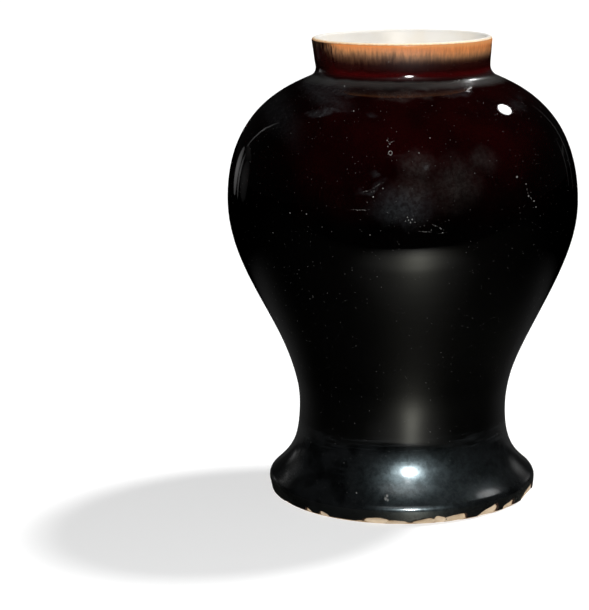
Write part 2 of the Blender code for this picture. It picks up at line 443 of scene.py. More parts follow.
def down_to(points, level):
    """The part of a falling line above a height, and the point where it gets there."""
    above = [points[0]]
    for start, end in zip(points, points[1:]):
        if end.y <= level:
            above.append(start.lerp(end, (start.y - level) / (start.y - end.y)))
            return above
        above.append(end)
    return above


def foot_wall_inside():
    """The clay's inner side from the waist down to the floor."""
    return down_to(layer(between(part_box("foot_section")[1].z, 0), clay_depth, 1), floor_height)


def seat_radius(level):
    """Radius of the tapered seat that the base slab is luted into."""
    rise = (floor_height - level) / (floor_height - recess_depth)
    return foot_wall_inside()[-1].x - floor_ledge_width - base_seat_taper * rise


def corners(*places):
    return [Vector(place) for place in places]


def foot_profile():
    """Down the outside, round the ring, up through the hollow and the slab's seat, and up inside."""
    outer = layer(between(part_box("foot_section")[1].z, foot_ring_chamfer), clay_depth)
    ring_radius = recess_radius + foot_ring_width
    underside = corners((ring_radius - foot_ring_draft, foot_ring_chamfer),
                        (ring_radius - foot_ring_chamfer, 0),
                        (recess_radius + foot_ring_chamfer, 0),
                        (recess_radius, foot_ring_chamfer),
                        (recess_radius, recess_depth),
                        (seat_radius(recess_depth), recess_depth),
                        (seat_radius(floor_height), floor_height))
    return outer[:-1] + underside + foot_wall_inside()[::-1]


def make_flake_tools():
    """One rough, rounded body for each flake, which takes its scoop out of the foot and the glaze."""
    tools = bpy.data.collections.new("flake_tools")
    bpy.context.scene.collection.children.link(tools)
    ring_radius = foot_radius - foot_taper
    spread = math.sqrt(1 - flake_reach * flake_reach)
    for number, (degrees, width, flake_height, depth, rise) in enumerate(flakes):
        shape = bmesh.new()
        bmesh.ops.create_icosphere(shape, subdivisions=4, radius=1)
        for vertex in shape.verts:
            spot = vertex.co * flake_lump_scale + Vector((number * flake_spacing, 0, 0))
            rough = 1 + flake_lumps * noise.noise(spot) + flake_small_lumps * noise.noise(spot * 3)
            turns = flake_ripples_up * vertex.co.z + flake_ripples_across * vertex.co.x
            ripple = flake_ripples * math.sin(turns)
            for axis in (0, 2):
                vertex.co[axis] = math.copysign(abs(vertex.co[axis]) ** flake_squareness, vertex.co[axis])
            vertex.co *= rough + ripple
            vertex.co.z *= 1 + rise * vertex.co.x
        reach = depth / (1 - flake_reach)
        bmesh.ops.scale(shape, verts=shape.verts, vec=(width / 2 / spread, reach, flake_height / spread))
        bmesh.ops.translate(shape, verts=shape.verts, vec=(0, -ring_radius - flake_reach * reach, 0))
        bmesh.ops.rotate(shape, verts=shape.verts, matrix=Matrix.Rotation(math.radians(degrees), 3, "Z"))
        mesh = bpy.data.meshes.new("flake_tool")
        shape.to_mesh(mesh)
        shape.free()
        tools.objects.link(bpy.data.objects.new("flake_tool", mesh))
    return tools


def flaked(piece, broken):
    """Takes every flake out of a piece, and gives the broken faces their own material."""
    for tool in flake_tools.objects:
        tool.data.materials.clear()
        tool.data.materials.append(broken)
    cut = piece.modifiers.new("flakes", "BOOLEAN")
    cut.operand_type = "COLLECTION"
    cut.collection = flake_tools
    cut.solver = "MANIFOLD"
    cut.material_mode = "TRANSFER"
    bpy.context.view_layer.update()
    ready = piece.evaluated_get(bpy.context.evaluated_depsgraph_get())
    whole = piece.data
    piece.data = bpy.data.meshes.new_from_object(ready)
    piece.modifiers.clear()
    piece.data.name = whole.name
    bpy.data.meshes.remove(whole)


broken_clay = clay_material("broken_clay", (0.72, 0.58, 0.42), (0.62, 0.48, 0.32), 0.03, 0.0005)
flake_tools = make_flake_tools()
turned_foot = turned("turned_foot", foot_profile(), fired_clay)
flaked(turned_foot, broken_clay)
set_in_place(turned_foot, "foot_section")


# The base slab
# A disc rolled from the same stoneware, which closes the pot below. It is luted with slip into the
# tapered seat inside the foot, and its lower side is the roof of the hollow under the vase.

def base_slab():
    """A disc with a tapered edge, wider on top."""
    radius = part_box("base_slab")[1].x
    lower_radius = radius - base_seat_taper
    profile = corners((0, floor_height), (radius, floor_height),
                      (lower_radius, recess_depth), (0, recess_depth))
    set_in_place(turned("foot_slab", profile, fired_clay), "base_slab")


base_slab()


# The slip in the seams
# The same clay thinned with water, smeared on the scored edges to hold the sections together. It is
# finer than the clay and fires paler. Three rings of it join the wall, and one holds the base slab.

fired_slip = clay_material("fired_slip", (0.68, 0.54, 0.38), (0.58, 0.43, 0.28), 0.02, 0.0002)


def base_slip():
    """The slip round the slab, which fills its seat."""
    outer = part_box("base_seam_slip")[1].x
    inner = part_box("base_slab")[1].x + gap
    profile = corners((outer, floor_height), (outer - base_seat_taper, recess_depth),
                      (inner - base_seat_taper, recess_depth), (inner, floor_height))
    set_in_place(turned("slip_at_base", profile, fired_slip), "base_seam_slip")


for place in ("neck", "belly", "waist"):
    wall_ring("slip_at_" + place, place + "_seam_slip", fired_slip)
base_slip()


# The outer glaze
# A thick copper-red glaze, dipped and fired in a smoky kiln. It ran off the lip, where it is thin and
# peach, through streaked brown to oxblood on the shoulder, and pooled nearly black further down.

glaze_stop_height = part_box("outer_glaze")[0].z


def outer_glaze_profile():
    """Over the lip's outer round and down the outside, then back up along the clay."""
    start = glaze_meeting_angle - gap / (lip_thickness / 2)
    places = between(height, glaze_stop_height)
    face = crown(start, 0, 0, 0)[:-1] + layer(places, 0)
    back = crown(start, 0, outer_glaze_thickness, inner_glaze_thickness)[:-1]
    back += layer(places, outer_glaze_thickness)
    return face + back[::-1]


def by_height(tree, level, stops):
    """A colour for each height: stops are (height, colour) pairs, the lowest first."""
    low, high = stops[0][0], stops[-1][0]
    share = put(tree, "MapRange", {0: level, 1: low, 2: high}).outputs[0]
    made = put(tree, "ValToRGB", {0: share})
    while len(made.color_ramp.elements) < len(stops):
        made.color_ramp.elements.new(1.0)
    for element, (stop, colour) in zip(made.color_ramp.elements, stops):
        element.position = (stop - low) / (high - low)
        element.color = (*colour, 1)
    return made.outputs[0]


def band(tree, value, rise, fall, base=0.0, top=1.0):
    """From a base to a top while the value crosses one range, and down to 0 across another."""
    return times(tree, eased(tree, value, *rise, base, top), eased(tree, value, *fall, 1.0, 0.0))


def far_from(tree, where, middle, reach, turn=0.0):
    """How far each place is from a middle: 1 is the reach along each axis."""
    local = put(tree, "Mapping", {"Vector": where, "Location": middle, "Scale": reach,
                                  "Rotation": (0, math.radians(turn), 0)}, vector_type="TEXTURE")
    return put(tree, "VectorMath", {0: local.outputs[0]}, operation="LENGTH").outputs["Value"]


# Metres, far more than the pot is deep: what is painted by (x, z) goes straight through it
any_depth = 9


def patch(tree, where, middle, reach, turn=0.0, solid=0.4):
    """A rounded patch at an (x, z) place: 1 in its middle and 0 past its reach."""
    x, z = middle
    across, up = reach
    far = far_from(tree, where, (x, 0, z), (across, any_depth, up), turn)
    return eased(tree, far, solid, 1.0, 1.0, 0.0)


def any_of(tree, masks):
    total = masks[0]
    for mask in masks[1:]:
        total = reckon(tree, "MAXIMUM", total, mask)
    return total


def moved_about(tree, where, scale, reach):
    """Places shifted at random by up to a reach, so that an edge painted there turns ragged."""
    jitter = put(tree, "TexNoise", {"Vector": where, "Scale": scale, "Detail": 4.0}).outputs["Color"]
    jitter = put(tree, "VectorMath", {0: jitter, 1: (0.5, 0.5, 0.5)}, operation="SUBTRACT").outputs[0]
    moved = put(tree, "VectorMath", {0: jitter, 1: (2 * reach,) * 3, 2: where}, operation="MULTIPLY_ADD")
    return moved.outputs[0]


def grey(tree, value):
    return put(tree, "CombineColor", {0: value, 1: value, 2: value}).outputs[0]


def make_dust_specks():
    """Pale dust and pinholes in a glaze, scattered at random: a share of small cells has one."""
    group = bpy.data.node_groups.new("dust_specks", "ShaderNodeTree")
    group.interface.new_socket(name="Share", in_out="INPUT", socket_type="NodeSocketFloat")
    group.interface.new_socket(name="Speck", in_out="OUTPUT", socket_type="NodeSocketFloat")
    given = group.nodes.new("NodeGroupInput").outputs
    where = put(group, "TexCoord", {}).outputs["Object"]
    cells = put(group, "TexVoronoi", {"Vector": where, "Scale": 340.0})
    random = put(group, "SeparateColor", {0: cells.outputs["Color"]}).outputs
    chosen = reckon(group, "LESS_THAN", random[0], given["Share"])
    spot = eased(group, cells.outputs["Distance"], 0.04, 0.12, 1.0, 0.0)
    bright = reckon(group, "POWER", random[1], 2.0)
    speck = times(group, times(group, chosen, spot), bright)
    out = group.nodes.new("NodeGroupOutput")
    group.links.new(speck, out.inputs["Speck"])
    return group


# The glaze's colour at each height, the lowest first
neck_shades = ((0.3330, (0.028, 0.0010, 0.0012)), (0.3365, (0.036, 0.0012, 0.0015)),
               (0.3390, (0.016, 0.0010, 0.0008)), (0.3435, (0.020, 0.0040, 0.0028)),
               (0.3457, (0.046, 0.017, 0.0085)), (0.3480, (0.096, 0.042, 0.020)),
               (0.3500, (0.180, 0.084, 0.040)), (0.3520, (0.320, 0.145, 0.060)),
               (0.3545, (0.550, 0.212, 0.074)), (0.3580, (0.660, 0.225, 0.066)),
               (0.3600, (0.680, 0.280, 0.100)))
body_shades = ((0.000, (0.0005, 0.0006, 0.0007)), (0.232, (0.0004, 0.0003, 0.0003)),
               (0.250, (0.0014, 0.0002, 0.0002)), (0.276, (0.0045, 0.0002, 0.0003)),
               (0.300, (0.0054, 0.0002, 0.0003)), (0.330, (0.0045, 0.0003, 0.0003)))
left_side_black = (0.004, 0.0015, 0.0008, 1)
# Where the body's colour gives way to the neck's, and where the glaze thins towards the lip
neck_starts = (0.331, 0.336)
lip_starts = (0.3540, 0.3580)


def neck_colour(tree, axes, streak, drift):
    """Peach where the glaze ran thin at the lip, then streaks of brown down to oxblood,
    lifted by painted light at the front middle and the right, and darker on the left side.
    """
    run = reckon(tree, "MULTIPLY_ADD", streak, 0.0050, -0.0025)
    run = reckon(tree, "ADD", run, reckon(tree, "MULTIPLY_ADD", drift, 0.0040, -0.0020))
    run = times(tree, run, eased(tree, axes["Z"], *lip_starts, 1.0, 0.25))
    # Darker towards near-black on the left side of the neck, most near its root and its lip
    dark_side = eased(tree, axes["X"], -0.061, -0.047, 1.0, 0.0)
    dark_run = eased(tree, streak, 0.38, 0.58, 0.016, 0.005)
    # Painted highlight: the colour is shifted towards peach at the front middle and the right of the
    # neck, where light falls
    painted_light_lift = reckon(tree, "ADD", eased(tree, axes["X"], -0.018, 0.010, 0.0, 0.0018),
                     eased(tree, axes["X"], 0.010, 0.050, 0.0, 0.0010))
    painted_light_lift = times(tree, painted_light_lift, eased(tree, axes["Z"], 0.3435, 0.3490))
    level = reckon(tree, "ADD", reckon(tree, "ADD", axes["Z"], run), painted_light_lift)
    level = reckon(tree, "SUBTRACT", level, times(tree, dark_side, dark_run))
    neck = by_height(tree, level, neck_shades)
    left_darkening = reckon(tree, "MAXIMUM", eased(tree, axes["Z"], 0.3380, 0.3470, 0.85, 0.42),
                   eased(tree, axes["Z"], 0.3520, 0.3570, 0.42, 0.82))
    left_darkened = times(tree, dark_side, left_darkening)
    return tinted(tree, left_darkened, neck, left_side_black)


def body_colour(tree, axes, cloud):
    """Oxblood on the shoulder, redder to the front and in clouds, and black from the belly down."""
    level = reckon(tree, "MULTIPLY_ADD", cloud, 0.016, reckon(tree, "ADD", axes["Z"], -0.008))
    body = by_height(tree, level, body_shades)
    middle = band(tree, axes["X"], (-0.098, -0.040), (0.070, 0.120))
    middle = reckon(tree, "MULTIPLY_ADD", middle, 0.9, 0.10)
    redder = times(tree, eased(tree, cloud, 0.30, 0.70, 0.6, 1.25), middle)
    return tinted(tree, 1.0, body, grey(tree, redder), "MULTIPLY")


def glaze_colour(tree, where, axes):
    """Neck and body in one, with thin upright lines where the glaze ran."""
    tall = put(tree, "Mapping", {"Vector": where, "Scale": (1, 1, 0.13)}).outputs[0]
    streak = clouds(tree, tall, 620.0, 4.0, 0.6)
    neck = neck_colour(tree, axes, streak, clouds(tree, tall, 70.0, 3.0))
    body = body_colour(tree, axes, clouds(tree, where, 38.0, 5.0))
    colour = tinted(tree, eased(tree, axes["Z"], *neck_starts), body, neck)
    lines = grey(tree, eased(tree, streak, 0.30, 0.70, 0.80, 1.14))
    below_lip = eased(tree, axes["Z"], 0.3530, 0.3580, 1.0, 0.2)
    return tinted(tree, below_lip, colour, lines, "MULTIPLY")


# Smears on the photographed side, partly dry film and partly painted reflection: the pale haze of a
# lamp's highlight on the belly and paler bands on the shoulder. The (x, z) place, how far they reach
# across and up, how they slope in degrees and how strong they are
cool_smears_and_glare = ((0.0010, 0.2490, 0.0300, 0.0180, 0, 0.68), (0.0160, 0.2768, 0.0050, 0.0032, 0, 0.80),
               (-0.0225, 0.2610, 0.0170, 0.0036, -28, 0.42), (-0.0620, 0.3240, 0.0340, 0.0115, 22, 0.62),
               (-0.0560, 0.3105, 0.0200, 0.0034, -6, 0.80), (-0.0240, 0.3110, 0.0060, 0.0022, 0, 0.40),
               (-0.0560, 0.3272, 0.0300, 0.0056, 8, 0.85), (0.0500, 0.3275, 0.0260, 0.0045, -8, 0.45),
               (0.0860, 0.3130, 0.0120, 0.0060, 40, 0.30), (-0.0190, 0.2705, 0.0050, 0.0030, 0, 0.50),
               (-0.0950, 0.3080, 0.0380, 0.0170, 38, 0.20))
warm_smears_and_reflection = ((0.0376, 0.2650, 0.0270, 0.0250, -30, 0.40), (0.0588, 0.2795, 0.0150, 0.0120, 20, 0.38),
               (0.0106, 0.2766, 0.0190, 0.0150, 0, 0.50), (0.0090, 0.2620, 0.0230, 0.0130, 0, 0.38),
               (0.0010, 0.3240, 0.0500, 0.0046, 0, 0.50))


def film_and_glare_share(tree, ragged, grain, front, smears):
    """How much of the dry film and the painted reflection lies on each place of the photographed side."""
    patches = []
    for x, z, across, up, turn, strength in smears:
        smear = patch(tree, ragged, (x, z), (across, up), turn, 0.15)
        patches.append(times(tree, smear, strength))
    smeared = times(tree, any_of(tree, patches), front)
    return times(tree, smeared, grain)


def hollow_grey_band(tree, where, axes):
    """A pale grey band in the hollow at the root of the neck, with a ragged edge."""
    cloud = clouds(tree, where, 90.0, 5.0)
    level = reckon(tree, "ADD", axes["Z"], reckon(tree, "MULTIPLY_ADD", cloud, 0.0030, -0.0015))
    return band(tree, level, (0.3255, 0.3295), (0.3304, 0.3326), 0.0, 0.85)


def wipes_and_foot_sheen(tree, where, axes):
    """Thin level streaks round the foot, where it was wiped, and a pale film over the foot, partly dust
    and partly painted sheen.
    """
    flat = put(tree, "Mapping", {"Vector": where, "Scale": (0.10, 0.10, 2.0)}).outputs[0]
    streak = eased(tree, clouds(tree, flat, 300.0, 5.0, 0.6), 0.50, 0.72)
    above = band(tree, axes["Z"], (0.040, 0.046), (0.056, 0.064), 0.15, 0.55)
    cloud = clouds(tree, where, 60.0, 6.0)
    # Partly dust, partly painted sheen: a pale film that lightens the dark glaze of the foot
    dust_and_sheen = times(tree, eased(tree, cloud, 0.35, 0.65, 0.02, 0.20),
                  eased(tree, axes["Z"], 0.050, 0.062, 1.0, 0.0))
    return reckon(tree, "MAXIMUM", times(tree, streak, above), dust_and_sheen)


# Marks on the photographed side: specks as an (x, z) place with their radius, scratches as a place
# with half their length and their slope in degrees, and one ring-shaped pit
specks = ((-0.0356, 0.3132, 0.0006), (-0.0431, 0.3278, 0.0007), (-0.0140, 0.2621, 0.0006),
          (-0.0211, 0.2560, 0.0006), (-0.0821, 0.2403, 0.0006), (-0.0697, 0.2409, 0.0006),
          (-0.0233, 0.2286, 0.0005), (0.0198, 0.2963, 0.0006), (0.0118, 0.2865, 0.0005),
          (-0.0351, 0.0209, 0.0007), (0.0095, 0.0206, 0.0004), (-0.0088, 0.0277, 0.0005),
          (-0.0110, 0.2948, 0.0006), (-0.0090, 0.2925, 0.0006), (-0.0105, 0.2908, 0.0005),
          (0.0836, 0.2659, 0.0010), (0.0905, 0.2601, 0.0006), (0.0925, 0.2512, 0.0008),
          (0.0967, 0.2469, 0.0007), (0.0983, 0.2423, 0.0006), (0.0036, 0.2418, 0.0006),
          (0.0070, 0.2402, 0.0007), (0.0058, 0.2379, 0.0006), (0.0090, 0.2382, 0.0004),
          (0.0021, 0.2390, 0.0004), (0.0044, 0.2396, 0.0005), (-0.0118, 0.0206, 0.0013),
          (-0.0128, 0.0188, 0.0015), (-0.0112, 0.0180, 0.0011))
scratches = ((-0.0307, 0.2464, 0.0104, -2), (0.0233, 0.2352, 0.0022, 20), (0.0160, 0.2310, 0.0060, 6),
             (0.0291, 0.2299, 0.0040, -8), (0.0280, 0.2330, 0.0030, 30), (0.0916, 0.2555, 0.0045, 78),
             (0.0946, 0.2490, 0.0026, 55), (-0.0100, 0.2940, 0.0034, 75), (-0.0075, 0.2938, 0.0024, -10),
             (-0.0180, 0.2640, 0.0060, -30), (-0.0260, 0.2600, 0.0045, -20))
scratch_width = 0.00026
pit_place = (-0.0087, 0, 0.2865)
pit_radius = 0.0013


def mark_share(tree, where, front):
    """The specks, scratches and pit on the photographed side, and the fine dust all over."""
    marks = [patch(tree, where, (x, z), (radius, radius), solid=0.3) for x, z, radius in specks]
    ragged = moved_about(tree, where, 500.0, 0.0010)
    scratched = [patch(tree, ragged, (x, z), (reach, scratch_width), turn, 0.1)
                 for x, z, reach, turn in scratches]
    broken = eased(tree, clouds(tree, where, 700.0, 2.0), 0.42, 0.62)
    marks.append(times(tree, any_of(tree, scratched), broken))
    from_pit = far_from(tree, where, pit_place, (pit_radius, any_depth, pit_radius))
    from_rim = reckon(tree, "ABSOLUTE", reckon(tree, "SUBTRACT", from_pit, 1.0))
    marks.append(eased(tree, from_rim, 0.08, 0.32, 0.8, 0.0))
    dust = put(tree, "Group", {}, node_tree=dust_specks)
    dust.inputs["Share"].default_value = 0.80
    return reckon(tree, "MAXIMUM", times(tree, any_of(tree, marks), front), dust.outputs["Speck"])


# Patches on the photographed side, each as its (x, z) place and how far it reaches across and up: where
# the gloss is lost, where wiping left the foot and the neck soft, and where the skin mirrors more
dull_front = ((0.0085, 0.2640), (0.036, 0.036))
wiped_foot = ((0.022, 0.030), (0.082, 0.030))
wiped_neck = ((0.004, 0.345), (0.044, 0.060))
bright_belly = ((0.006, 0.211), (0.050, 0.0145))


def coat_weight(tree, where, axes, front):
    """The gloss: less of it on a dull patch, in the hollow below the neck and round the lip."""
    dull = patch(tree, where, *dull_front, solid=0.55)
    hollow = band(tree, axes["Z"], (0.3175, 0.3240), (0.3300, 0.3325), 0.25, 0.60)
    lip = eased(tree, axes["Z"], 0.3540, 0.3565, 0.0, 0.9)
    lost = reckon(tree, "MAXIMUM", times(tree, dull, front), hollow)
    lost = reckon(tree, "MAXIMUM", lost, lip)
    return reckon(tree, "SUBTRACT", 1.0, lost)


def glaze_relief(tree, where, marks):
    """Faint rings from the wheel, the fine orange peel of a fired glaze and the marks standing proud."""
    flat = put(tree, "Mapping", {"Vector": where, "Scale": (0.05, 0.05, 1)}).outputs[0]
    rings = clouds(tree, flat, 170.0, 3.0)
    peel = clouds(tree, where, 420.0, 2.0)
    upright = put(tree, "SeparateXYZ", {0: where}).outputs["Z"]
    rings = times(tree, rings, eased(tree, upright, 0.300, 0.320, 1.0, 0.15))
    relief = put(tree, "Bump", {"Height": rings, "Strength": 1.0, "Distance": 0.00006})
    relief = put(tree, "Bump", {"Height": peel, "Strength": 1.0, "Distance": 0.000006,
                                "Normal": relief.outputs[0]})
    relief = put(tree, "Bump", {"Height": marks, "Strength": 0.5, "Distance": 0.0002,
                                "Normal": relief.outputs[0]})
    return relief.outputs[0]


# What lies on the glaze, the painted reflection and the grey band in the hollow, and how much of each
# hides the colour below
cool_film_and_glare = (0.36, 0.40, 0.43, 1)
warm_film_and_reflection = (0.42, 0.38, 0.35, 1)
hollow_grey = (0.39, 0.41, 0.39, 1)
pale_mark = (0.42, 0.42, 0.40, 1)
film_and_glare_strength = 0.060
hollow_grey_strength = 0.080
mark_strength = 0.38


def under_dust_and_glare(tree, where, axes, front, colour):
    """The glaze's colour with the dry films and painted reflection on it, and the grey band in its
    hollow.
    """
    ragged = moved_about(tree, where, 75.0, 0.007)
    grain = eased(tree, clouds(tree, where, 330.0, 7.0, 0.75), 0.36, 0.66, 0.32, 1.0)
    cool = film_and_glare_share(tree, ragged, grain, front, cool_smears_and_glare)
    cool = reckon(tree, "MAXIMUM", cool, wipes_and_foot_sheen(tree, where, axes))
    warm = film_and_glare_share(tree, ragged, grain, front, warm_smears_and_reflection)
    hollow = hollow_grey_band(tree, where, axes)
    # Painted reflection: the pale films stand partly for the haze of highlights and the glare on the
    # shoulder
    colour = tinted(tree, times(tree, cool, film_and_glare_strength), colour, cool_film_and_glare)
    colour = tinted(tree, times(tree, warm, film_and_glare_strength), colour, warm_film_and_reflection)
    return tinted(tree, times(tree, hollow, hollow_grey_strength), colour, hollow_grey)


def worn_sheen(tree, where, axes, front):
    """A blurred shine below the clear one, where wiping dulled the foot, the neck and its hollow."""
    foot = times(tree, patch(tree, where, *wiped_foot, solid=0.2), front)
    foot = reckon(tree, "MULTIPLY_ADD", foot, 0.36, 0.02)
    scuffs = eased(tree, clouds(tree, where, 170.0, 7.0, 0.75), 0.36, 0.64, 0.62, 1.30)
    foot = times(tree, times(tree, foot, scuffs), eased(tree, axes["Z"], 0.0440, 0.0600, 1.0, 0.0))
    neck = times(tree, patch(tree, where, *wiped_neck, solid=0.2), front)
    neck = reckon(tree, "MULTIPLY_ADD", neck, 0.20, 0.02)
    neck = times(tree, neck, eased(tree, axes["Z"], 0.336, 0.350))
    neck = times(tree, neck, eased(tree, axes["Z"], *lip_starts, 1.0, 0.1))
    hollow = band(tree, axes["Z"], (0.3270, 0.3300), (0.3335, 0.3352), 0.0, 0.08)
    return reckon(tree, "ADD", foot, reckon(tree, "ADD", neck, hollow))


def skin_strength(tree, where, axes, front):
    """The clear skin mirrors more on the foot, and in one place below the belly."""
    below_belly = times(tree, patch(tree, where, *bright_belly), front)
    skin = eased(tree, axes["Z"], 0.078, 0.100, 1.85, 1.5)
    return reckon(tree, "MULTIPLY_ADD", below_belly, 0.22, skin)


def make_copper_red():
    """Two layers: the coloured glaze with its worn sheen, and the clear skin that mirrors the room."""
    made, tree, shader = new_material("copper_red_glaze")
    # What a file keeps where it can't carry the changing values below: the plain glaze of the body
    shader.inputs["Specular IOR Level"].default_value = 0.04
    shader.inputs["Coat Roughness"].default_value = 0.05
    shader.inputs["Coat IOR"].default_value = 1.5
    shader.inputs["IOR"].default_value = 2.8
    where = put(tree, "TexCoord", {}).outputs["Object"]
    axes = put(tree, "SeparateXYZ", {0: where}).outputs
    front = eased(tree, axes["Y"], -0.03, 0.0, 1.0, 0.0)
    marks = mark_share(tree, where, front)
    colour = under_dust_and_glare(tree, where, axes, front, glaze_colour(tree, where, axes))
    colour = tinted(tree, times(tree, marks, mark_strength), colour, pale_mark)
    cooler = tinted(tree, eased(tree, axes["Z"], 0.1, 0.3), (0.72, 0.93, 1.0, 1), (1, 1, 1, 1))
    foot_blur = eased(tree, axes["Z"], 0.046, 0.062, 0.105, 0.0)
    neck_blur = eased(tree, axes["Z"], 0.318, 0.332, 0.045, 0.085)
    relief = glaze_relief(tree, where, marks)
    changing = {"Base Color": colour,
                "Roughness": eased(tree, axes["Z"], 0.1, 0.3, 0.335, 0.32),
                "Specular IOR Level": worn_sheen(tree, where, axes, front),
                "Specular Tint": cooler,
                "Coat Weight": coat_weight(tree, where, axes, front),
                "Coat Roughness": reckon(tree, "ADD", foot_blur, neck_blur),
                "Coat IOR": skin_strength(tree, where, axes, front),
                "Normal": relief,
                "Coat Normal": relief}
    for socket, value in changing.items():
        tree.links.new(value, shader.inputs[socket])
    return made


def make_broken_glaze():
    """The glaze's own thickness where a flake broke it: brown and a little duller."""
    made, _, shader = new_material("broken_glaze")
    shader.inputs["Base Color"].default_value = (0.030, 0.012, 0.006, 1)
    shader.inputs["Roughness"].default_value = 0.35
    return made


dust_specks = make_dust_specks()
copper_red_glaze = make_copper_red()
outer_coat = turned("outer_coat", outer_glaze_profile(), copper_red_glaze)
flaked(outer_coat, make_broken_glaze())
set_in_place(outer_coat, "outer_glaze")

for tool in list(flake_tools.objects):
    bpy.data.objects.remove(tool)
bpy.data.collections.remove(flake_tools)


# The inner glaze
# A cream glaze over the same clay, poured in and rolled round before the outside was dipped. It
# covers the floor and the inner wall, and was wiped level over the round of the lip.

def inner_glaze_profile():
    face_level = floor_height + gap + inner_glaze_thickness
    face = crown(glaze_meeting_angle, math.pi, 0, 0)[:-1]
    face += down_to(layer(wall, clay_depth + gap + inner_glaze_thickness, 1), face_level)
    face.append(Vector((0, face_level)))
    back = crown(glaze_meeting_angle, math.pi, outer_glaze_thickness, inner_glaze_thickness)[:-1]
    back += down_to(layer(wall, clay_depth + gap, 1), floor_height + gap)
    back.append(Vector((0, floor_height + gap)))
    return face[::-1] + back


def make_cream():
    """Cream with soft clouds and a few brown specks, yellow then peach where it thins over the lip."""
    made, tree, shader = new_material("cream_glaze")
    where = put(tree, "TexCoord", {}).outputs["Object"]
    axes = put(tree, "SeparateXYZ", {0: where}).outputs
    flat = put(tree, "Mapping", {"Vector": where, "Scale": (1, 1, 0)}).outputs[0]
    radius = put(tree, "VectorMath", {0: flat}, operation="LENGTH").outputs["Value"]
    cloud = clouds(tree, where, 45.0, 5.0)
    fine = clouds(tree, where, 400.0, 3.0)
    colour = tinted(tree, eased(tree, cloud, 0.35, 0.70),
                    (0.85, 0.83, 0.79, 1), (0.84, 0.80, 0.73, 1))
    edge = reckon(tree, "ADD", radius, reckon(tree, "MULTIPLY_ADD", fine, 0.0016, -0.0008))
    lip = eased(tree, axes["Z"], 0.3540, 0.3560)
    yellow = times(tree, eased(tree, edge, 0.0672, 0.0690), lip)
    colour = tinted(tree, yellow, colour, (0.86, 0.68, 0.46, 1))
    peach = times(tree, eased(tree, edge, 0.0689, 0.0698), lip)
    colour = tinted(tree, peach, colour, (0.72, 0.38, 0.18, 1))
    dust = put(tree, "Group", {}, node_tree=dust_specks)
    dust.inputs["Share"].default_value = 0.06
    specked = times(tree, dust.outputs["Speck"], 0.5)
    colour = tinted(tree, specked, colour, (0.25, 0.17, 0.10, 1))
    tree.links.new(colour, shader.inputs["Base Color"])
    shader.inputs["Roughness"].default_value = 0.42
    peel = put(tree, "Bump", {"Height": fine, "Strength": 0.4, "Distance": 0.00002}).outputs[0]
    tree.links.new(peel, shader.inputs["Normal"])
    return made


cream_glaze = make_cream()
inner_coat = turned("inner_coat", inner_glaze_profile(), cream_glaze)
set_in_place(inner_coat, "inner_glaze")


# The glaze under the base
# The same cream glaze, brushed thinly over the slab and down the inside of the foot ring before the
# firing. The ring itself stays bare, since a glazed one would stick to the kiln shelf.

base_glaze_thickness = 0.0007


def base_glaze():
    """A shallow cap: a thin roof with a thin rim that reaches down towards the ring."""
    low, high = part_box("base_glaze")
    face = high.x - base_glaze_thickness
    roof = high.z - base_glaze_thickness
    profile = corners((0, high.z), (high.x, high.z), (high.x, low.z),
                      (face, low.z), (face, roof), (0, roof))
    set_in_place(turned("base_coat", profile, cream_glaze), "base_glaze")


base_glaze()


# The floor
# A plain pale floor, white to the camera, that keeps the soft shadow of the vase. The dark glaze
# mirrors it as in the photograph: dim, with a sheen close to the foot and dark farther off.

floor_reach = 20
# The camera sees the paint with a glow that brings it to white, and the vase is lit by plain paint
floor_glow = 0.355
floor_paint = (0.72, 0.72, 0.72, 1)
bounce_paint = (0.70, 0.70, 0.70, 1)


def floor_mirrored(tree, where):
    """The floor as the glaze sees it: a sheen close by, a painted pool of light in front, and a little
    paleness behind.
    """
    depth = put(tree, "SeparateXYZ", {0: where}).outputs["Y"]
    near = band(tree, depth, (-0.57, -0.42), (-0.15, 0.25))
    far = put(tree, "VectorMath", {0: where}, operation="LENGTH").outputs["Value"]
    behind = times(tree, eased(tree, depth, -0.05, 0.20, 0.0, 0.045),
                   eased(tree, far, 0.32, 0.56, 1.0, 0.0))
    # Painted pool of light: the floor is paler in a patch in front of the vase, which the glaze mirrors
    # as a glow
    before = far_from(tree, where, (0.04, -0.36, 0), (0.32, 0.24, 1))
    before = eased(tree, before, 0.25, 1.0, 0.10, 0.0)
    tilted = put(tree, "Normal", {}).outputs[0]
    tilted.default_value = (-0.05, 0, 1)
    pale = grey(tree, reckon(tree, "ADD", behind, before))
    return put(tree, "BsdfPrincipled", {"Base Color": pale, "Roughness": 0.49, "IOR": 2.1,
                                        "Specular IOR Level": near, "Normal": tilted,
                                        "Specular Tint": (0.98, 0.98, 0.84, 1)}).outputs[0]


